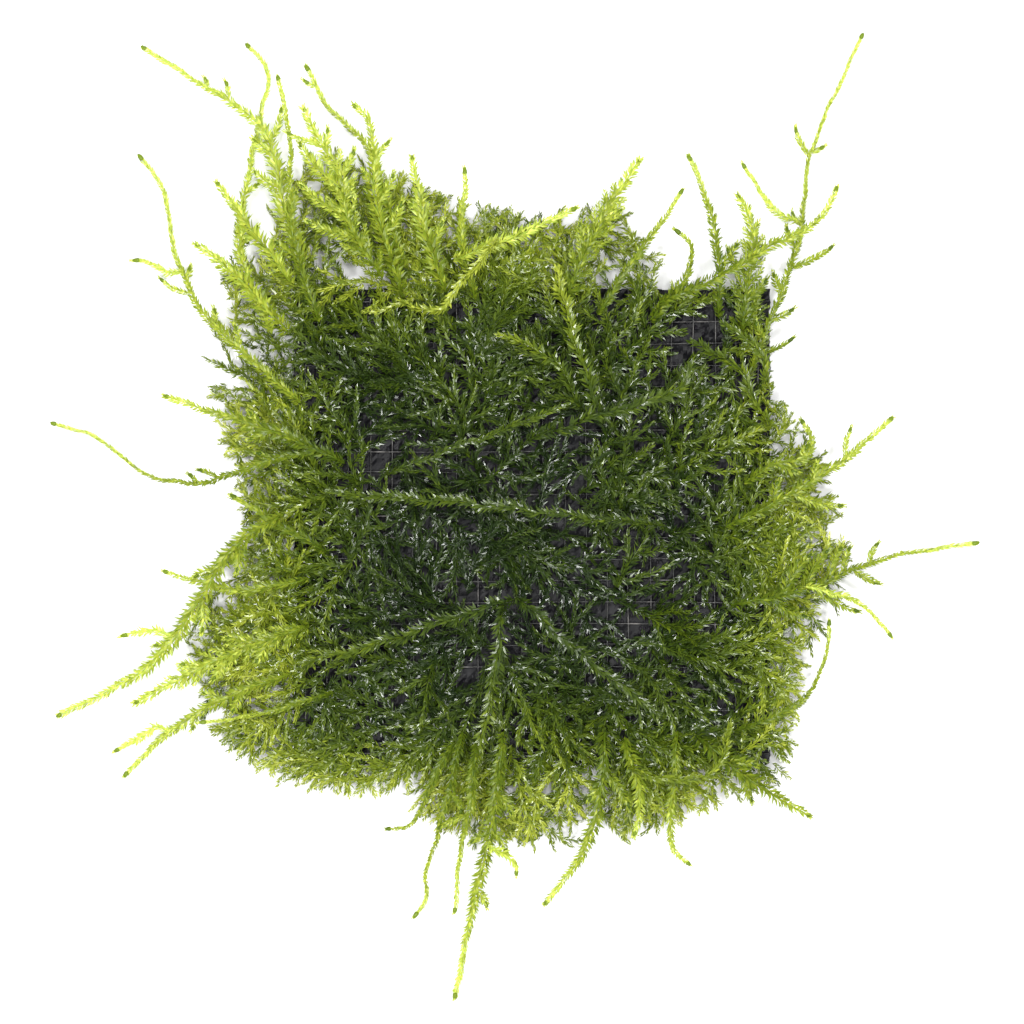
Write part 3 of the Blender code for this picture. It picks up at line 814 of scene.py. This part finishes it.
# Trailing shoots are made lighter: fresher growth, and painted backlight from the white floor below.
TRAILING_FRESH_AND_PAINTED_BACKLIGHT = 0.10
FRESHEST_TIP = 0.88
# Twigs on the main shoots.
TWIG_FORM = np.array((0.8, 1.0, 1.0, 0.6, 0.45))
TWIG_ANGLE = 0.95
TWIG_STEM = 0.18 * MM
TWIG_BUD = 0.32 * MM


def joined_to_parent(route, parent):
    """Adds the nearest point of the parent's route before a branch's own root."""
    nearest = parent[np.argmin(np.linalg.norm(parent - route[0], axis=1))]
    return np.vstack((nearest, route)) if np.linalg.norm(nearest - route[0]) > 1.0 * MM else route


def rooted_in_carpet(route):
    """Carries a shoot's root on, back and down into the carpet."""
    back = route[0] - route[1]
    back[2] = 0
    return np.vstack((route[0] + unit(back) * 2.5 * MM - (0, 0, 1.6 * MM), route))


def make_main_shoot(node, routes, slot, material, leaf):
    """One long shoot along its solid, with its twigs."""
    route, halves = routes[node]
    widest = 2 * halves.max() / MM
    if node in PARENTS:
        route = joined_to_parent(route, smooth_route(routes[PARENTS[node]][0]))
    else:
        route = rooted_in_carpet(route)
    route = wavy(smooth_route(route), OVER_MAT_WAVE if slot == OVER_MAT else TRAILING_WAVE)
    share = np.linspace(0, 1, 20)
    form = FEATHERY if slot == TRAILING and node not in THREADS else THREADLIKE
    if slot == OVER_MAT:
        form = EVEN
    reach = np.maximum(widest / 2 * MM * np.interp(share, *form), ROPE_REACH)
    if node in THREADS:
        reach = np.minimum(reach, np.interp(share, (0.35, 0.70, 1.0), (9 * MM, THREAD_END, THREAD_END)))
    stem_radius = np.interp(widest, *TRAILING_STEMS) * MM
    bud = np.interp(widest, *TRAILING_BUDS) * MM
    lighter = OVER_MAT_FRESHER if slot == OVER_MAT else TRAILING_FRESH_AND_PAINTED_BACKLIGHT + rng.normal(0, 0.035)
    root_fresh = float(zone_age_and_painted_light(route[0, 0], route[0, 1])) + lighter
    lighter += FRESHER_TIPS.get(node, 0.0)
    tip_fresh = min(float(zone_age_and_painted_light(route[-1, 0], route[-1, 1])) + lighter, FRESHEST_TIP)
    untidy = TRAILING_UNTIDY
    if slot == OVER_MAT:
        untidy, stem_radius, bud = OVER_MAT_UNTIDY, OVER_MAT_STEM, 0.0
    growth = Growth(leaf)
    if widest / 2 * MM > BROADEST_PLAIN:
        grow_side_shoots(growth, route, reach, root_fresh, tip_fresh, 1.3 * MM, 0.8 * MM)
        reach = np.minimum(reach, 1.1 * MM)
    grow_shoot(growth, route, reach, root_fresh, tip_fresh, tilt=rng.normal(0, 0.2), stem_sides=5,
               stem_step=0.8 * MM, stem_radius=stem_radius, bud=bud, untidy=untidy)
    for place, hand, length, width in TWIGS.get(node, ()):
        twig = side_route(route, place, hand, length * MM, TWIG_ANGLE, 0.6 * MM)
        fresh = root_fresh + (tip_fresh - root_fresh) * place
        grow_shoot(growth, wavy(twig, 0.15 * MM), width / 2 * MM * TWIG_FORM,
                   fresh, min(fresh + 0.08, FRESHEST_TIP), tilt=rng.normal(0, 0.3), stem_step=0.8 * MM,
                   stem_radius=TWIG_STEM, bud=TWIG_BUD)
    return finish_piece(growth.make("leafy_" + node), material, slot, node)


# ---------------------------------------------------------------- carpet of small shoots

CARPET_CELL = 1.0 * MM
CARPET_DENSITY = 0.75         # leaves of a frond against those of a main shoot
CARPET_PARTS = ("carpet_right", "carpet_upper_right", "carpet_top", "carpet_upper_left",
                "carpet_left", "carpet_lower_left", "carpet_bottom", "carpet_lower_right")
CARPET_UNTIDY = 0.55
CARPET_SLIM = 0.92
CARPET_FRESHEST = 0.60
THIN_COVER = 2.4 * MM         # cover thinner than this keeps most fronds away
THIN_BARE = 0.35              # share of the fronds kept away there
FALL_OUTSIDE = 0.38           # how fast the carpet falls past its rim
# Layers of fronds: how many, how high their tips reach in the carpet, shade (darker deep down: older
# growth and painted shade), spread of headings.
CARPET_LAYERS = (
    (212, (0.05, 0.40), -0.10, 1.8),
    (146, (0.35, 0.75), -0.02, 1.1),
    (112, (0.70, 1.05), 0.04, 0.6),
)


RIM_FRONDS = 100              # fronds rooted along the mat's edge that fill the rim


class Cover:
    """Top and bottom of the carpet's solid over a square of cells, carried on past its rim."""

    def __init__(self, node):
        solid = frame["nodes"][node]
        tree = BVHTree.FromObject(solid, bpy.context.evaluated_depsgraph_get())
        self.reach = 95 * MM
        self.count = int(round(2 * self.reach / CARPET_CELL)) + 1
        shape = (self.count, self.count)
        self.top = np.full(shape, np.nan)
        self.bottom = np.full(shape, np.nan)
        high, low = cad_box[1][2] + 0.01, cad_box[0][2] - 0.01
        for i in range(self.count):
            for j in range(self.count):
                x, y = i * CARPET_CELL - self.reach, j * CARPET_CELL - self.reach
                above = tree.ray_cast(Vector((x, y, high)), Vector((0, 0, -1)))[0]
                if above:
                    self.top[i, j] = above.z
                    self.bottom[i, j] = tree.ray_cast(Vector((x, y, low)), Vector((0, 0, 1)))[0].z
        self.inside = ~np.isnan(self.top)
        self.spread_out()

    def spread_out(self):
        """Carries both surfaces on outside the solid, falling to the floor."""
        fall = FALL_OUTSIDE * CARPET_CELL
        for surface, least in ((self.top, 1.2 * MM), (self.bottom, 0.4 * MM)):
            for _ in range(40):
                known = np.where(np.isnan(surface), -1, surface)
                around = known.copy()
                around[1:] = np.maximum(around[1:], known[:-1] - fall)
                around[:-1] = np.maximum(around[:-1], known[1:] - fall)
                around[:, 1:] = np.maximum(around[:, 1:], known[:, :-1] - fall)
                around[:, :-1] = np.maximum(around[:, :-1], known[:, 1:] - fall)
                grown = np.isnan(surface) & (around > 0)
                surface[grown] = np.maximum(around[grown], least)
            surface[np.isnan(surface)] = least

    def cell(self, x, y):
        i = np.rint((np.asarray(x) + self.reach) / CARPET_CELL).astype(int)
        j = np.rint((np.asarray(y) + self.reach) / CARPET_CELL).astype(int)
        return np.clip(i, 0, self.count - 1), np.clip(j, 0, self.count - 1)

    def surfaces(self, x, y):
        i, j = self.cell(x, y)
        return self.bottom[i, j], self.top[i, j], self.inside[i, j]


def smoothed(values, times=3):
    """Evens out a run of values, keeping its ends."""
    for _ in range(times):
        values = np.concatenate((values[:1], (values[:-2] + values[1:-1] + values[2:]) / 3, values[-1:]))
    return values


def small_route(cover, x, y, heading, length, bend, depth_root, depth_tip):
    """Route of a small shoot through the carpet, between its bottom and its top."""
    steps = max(6, int(length / MM))
    stride = length / steps
    headings = heading + bend * np.arange(steps + 1) * stride / MM
    xs = x + np.concatenate(([0], np.cumsum(np.cos(headings[:-1]) * stride)))
    ys = y + np.concatenate(([0], np.cumsum(np.sin(headings[:-1]) * stride)))
    bottom, top, inside = cover.surfaces(xs, ys)
    depth = np.linspace(0, 1, steps + 1) ** 0.7 * (depth_tip - depth_root) + depth_root
    zs = smoothed(bottom + (top - bottom) * depth)
    return np.stack((xs, ys, np.maximum(zs, 0.7 * MM)), axis=1), top - bottom, inside


def kept_route(cover, x, y, heading, length, bend, depth_root, depth_tip):
    """A route through the carpet, cut short where it leaves it, or None where it can't grow."""
    route, thickness, inside = small_route(cover, x, y, heading, length, bend, depth_root, depth_tip)
    outside = np.flatnonzero(~inside)
    if len(outside):
        route = route[:outside[0] + 2]
    if len(route) < 4:
        return None
    if (thickness < THIN_COVER).mean() > 0.35 and rng.uniform() < THIN_BARE:
        return None
    return route


def grow_frond(growth, cover, x, y, heading, length, depth, shade):
    """A small shoot with side shoots, woven through the carpet."""
    bend = rng.normal(0, 0.035)
    depth_root = depth * rng.uniform(0.1, 0.5)
    route = kept_route(cover, x, y, heading, length, bend, depth_root, depth)
    if route is None:
        return False

    def grow(path, half_width, extra):
        patches = 0.07 * lumps(path[:, 0] / MM, path[:, 1] / MM, 6.0)
        zone = np.minimum(zone_age_and_painted_light(path[:, 0], path[:, 1]), CARPET_FRESHEST) + patches
        # shade darkens the deep fronds with older growth and painted shade; the zone adds painted shade
        # over the mat
        grow_shoot(growth, wavy(smooth_route(path), 0.25 * MM),
                   half_width * np.array((0.8, 1.0, 1.0, 0.9, 0.7, 0.45)),
                   float(zone[0] + shade - 0.05), float(zone[-1] + shade + 0.05 + extra),
                   tilt=rng.normal(0, 0.45), density=CARPET_DENSITY, untidy=CARPET_UNTIDY,
                   slim=CARPET_SLIM)

    half_width = rng.uniform(0.85, 1.35) * MM
    grow(route, half_width, 0.0)
    hand = rng.choice((-1, 1))
    total = length / MM
    at = rng.uniform(2.0, 3.5)
    while at < total - 2.5:
        i = int(at / total * length / MM)
        if i >= len(route) - 2:
            break
        ahead = heading + bend * at
        turn = hand * rng.uniform(0.55, 1.15)
        side_length = rng.uniform(0.35, 0.65) * (total - at) + 2.0
        side = kept_route(cover, route[i, 0], route[i, 1], ahead + turn, min(side_length, 9.0) * MM,
                          -turn * 0.06, depth * 0.7, depth + rng.uniform(-0.25, 0.2))
        if side is not None:
            grow(side, half_width * rng.uniform(0.6, 0.9), 0.02)
        at += rng.uniform(1.6, 3.2)
        hand = -hand
    return True


def carpet_part(x, y):
    """Which part of the carpet a frond belongs to, by the direction of its root."""
    share = math.atan2(y, x) / (2 * math.pi) + 0.5 / len(CARPET_PARTS)
    return int(share % 1 * len(CARPET_PARTS))


def make_carpet(material, leaf):
    cover = Cover("small_shoots")
    parts = [Growth(leaf) for _ in CARPET_PARTS]
    low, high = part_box("small_shoots")
    for fronds, depths, layer_shade, spread in CARPET_LAYERS:
        grown = 0
        while grown < fronds:
            x, y = rng.uniform(low[0], high[0]), rng.uniform(low[1], high[1])
            if not cover.surfaces(x, y)[2]:
                continue
            heading = math.atan2(y - HUB.y, x - HUB.x) + rng.normal(0, spread)
            grown += grow_frond(parts[carpet_part(x, y)], cover, x, y, heading,
                                rng.uniform(10, 22) * MM, rng.uniform(*depths),
                                layer_shade + rng.normal(0, 0.05))
    grown = 0
    while grown < RIM_FRONDS:
        angle = rng.uniform(-math.pi, math.pi)
        root = MAT_HIGH.x / max(abs(math.cos(angle)), abs(math.sin(angle))) - rng.uniform(0, 5) * MM
        x, y = root * math.cos(angle), root * math.sin(angle)
        grown += grow_frond(parts[carpet_part(x, y)], cover, x, y, angle + rng.normal(0, 0.4),
                            rng.uniform(9, 16) * MM, rng.uniform(0.2, 0.9), rng.normal(0.03, 0.06))
    for name, part in zip(CARPET_PARTS, parts):
        finish_piece(part.make(name), material, "moss_carpet", "small_shoots")


# ---------------------------------------------------------------- stage

VIEW_WIDTH = 170.67 * MM
VIEW_CENTRE = Vector((-3.33, 2.5)) * MM
CAMERA_HEIGHT = 1.0
FOCUS_HEIGHT = 5.0 * MM
FLOOR_SIDE = 4.0
SOFTBOXES = (
    (0.30, 0.18, 0.85), (-0.10, 0.28, 0.88), (0.10, -0.24, 0.90), (-0.28, -0.04, 0.86),
    (0.05, 0.06, 0.96), (-0.18, -0.28, 0.82),
)
SOFTBOX_SIDE = 0.10
SOFTBOX_POWER = 2.5


def make_floor():
    deselect()
    bpy.ops.mesh.primitive_plane_add(size=FLOOR_SIDE, location=(0, 0, cad_box[0][2] - 0.3 * MM))
    floor = settle(bpy.context.active_object)
    floor.name = "floor"
    material, nodes, links, shader = new_material("white_floor")
    place = nodes.new("ShaderNodeTexCoord")
    grain = nodes.new("ShaderNodeTexNoise")
    grain.inputs["Scale"].default_value = 40
    links.new(place.outputs["Object"], grain.inputs["Vector"])
    tint = nodes.new("ShaderNodeValToRGB")
    set_ramp(tint, ((0.3, (0.90, 0.90, 0.90)), (0.7, (0.92, 0.92, 0.92))))
    links.new(grain.outputs["Fac"], tint.inputs["Fac"])
    links.new(tint.outputs["Color"], shader.inputs["Base Color"])
    shader.inputs["Roughness"].default_value = 0.9
    floor.data.materials.append(material)


def add_light(name, size, power, location):
    """A square softbox aimed at the clump."""
    data = bpy.data.lights.new(name, "AREA")
    data.shape = "SQUARE"
    data.size = size
    data.energy = power
    light = bpy.data.objects.new(name, data)
    light.location = location
    light.rotation_euler = (-Vector(location)).to_track_quat("-Z", "Y").to_euler()
    light.visible_camera = False
    bpy.context.scene.collection.objects.link(light)


def make_stage():
    make_floor()
    world = bpy.data.worlds.new("white_room")
    world.use_nodes = True
    world.node_tree.nodes["Background"].inputs["Color"].default_value = (1, 1, 1, 1)
    world.node_tree.nodes["Background"].inputs["Strength"].default_value = 0.50
    bpy.context.scene.world = world
    for number, place in enumerate(SOFTBOXES, 1):
        add_light(f"softbox_{number}", SOFTBOX_SIDE, SOFTBOX_POWER, place)
    camera_data = bpy.data.cameras.new("camera")
    camera_data.sensor_width = 36
    camera_data.lens = 36 * (CAMERA_HEIGHT - FOCUS_HEIGHT) / VIEW_WIDTH
    camera = bpy.data.objects.new("camera", camera_data)
    camera.location = (VIEW_CENTRE.x, VIEW_CENTRE.y, CAMERA_HEIGHT)
    bpy.context.scene.collection.objects.link(camera)
    bpy.context.scene.camera = camera
    bpy.context.scene.view_settings.view_transform = "Standard"


# ---------------------------------------------------------------- everything together

def main():
    make_stage()
    moss_color = moss_color_group()
    # Base tints darken the carpet and upper leaves and brighten the trailing leaves: painted shade over
    # the mat and painted backlight from the white floor in the fringe. Tip tints lighten the tips over the
    # mat and keep trailing bodies brighter than their tips: painted light through thin blades.
    carpet_leaf = moss_material(
        "carpet_leaves", moss_color, 0.22, 0.58, 0.15, (0.75, 0.75, 0.75), (1.15, 1.15, 1.05))
    over_leaf = moss_material(
        "upper_leaves", moss_color, 0.22, 0.58, 0.20, (0.85, 0.85, 0.85), (1.10, 1.10, 1.00))
    trailing_leaf = moss_material(
        "trailing_leaves", moss_color, 0.26, 0.40, 0.45, (1.55, 1.45, 1.70), (0.90, 1.05, 0.95))
    make_mat(mat_material())
    make_net(thread_material())
    plain_leaf = model_leaf(())
    full_leaf = model_leaf(((0.70, 1.25),))
    leaf_of_slot = {TRAILING: trailing_leaf, OVER_MAT: over_leaf}
    slots = {part["node"]: part["material_slot"] for part in frame["record"]["subparts"]
             if part["material_slot"] in leaf_of_slot}
    routes = {node: solid_route(node) for node in slots}
    for node, slot in slots.items():
        make_main_shoot(node, routes, slot, leaf_of_slot[slot], full_leaf)
    make_carpet(carpet_leaf, plain_leaf)


main()
